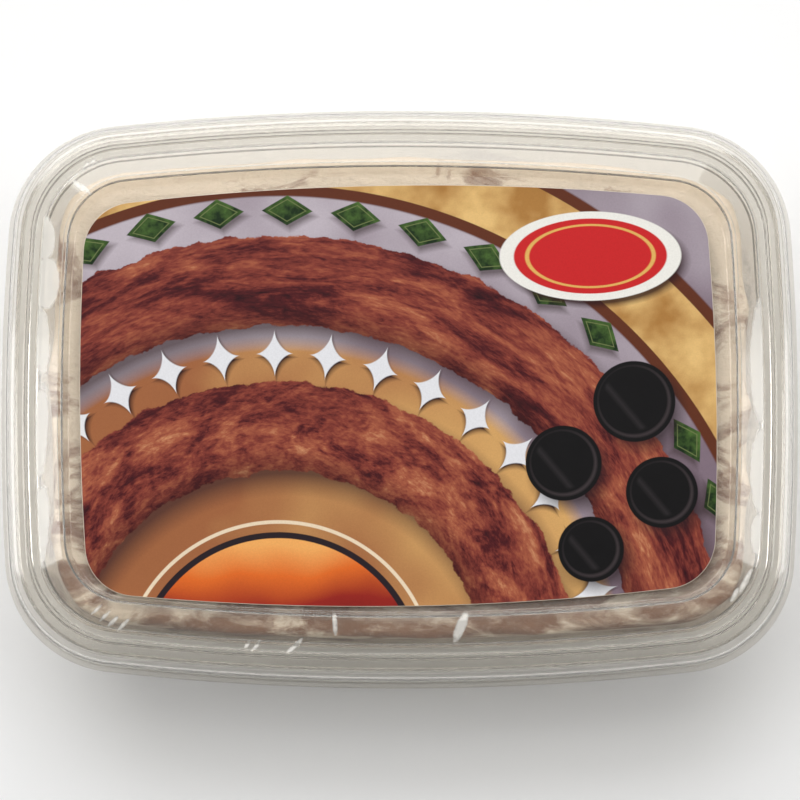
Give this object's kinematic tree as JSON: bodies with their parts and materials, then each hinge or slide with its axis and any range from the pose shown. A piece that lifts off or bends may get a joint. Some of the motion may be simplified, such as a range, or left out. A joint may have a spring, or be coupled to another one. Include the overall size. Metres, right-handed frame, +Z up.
{
  "type": "tub of marble halva",
  "caption": "Shut clear plastic tub of marble halva: long, with bowed sides, round corners, a push-on lid and a printed label in the lid's sunken panel.",
  "frame": {"origin": "middle of the base, on the surface that the tub stands on", "axes": "+X along the tub's length, +Y towards the label's upper edge, +Z up through the lid"},
  "size_m": [0.156, 0.1148, 0.038],
  "materials": {
    "tub_plastic": "clear thin thermoformed plastic",
    "lid_plastic": "clear thin thermoformed plastic",
    "halva": "matte flaky sesame halva with brown cocoa marbling",
    "label_print": null
  },
  "bodies": {
    "root": {"tub": "tub_plastic", "lid": "lid_plastic", "halva": "halva", "label": "label_print"}
  },
  "joints": []
}
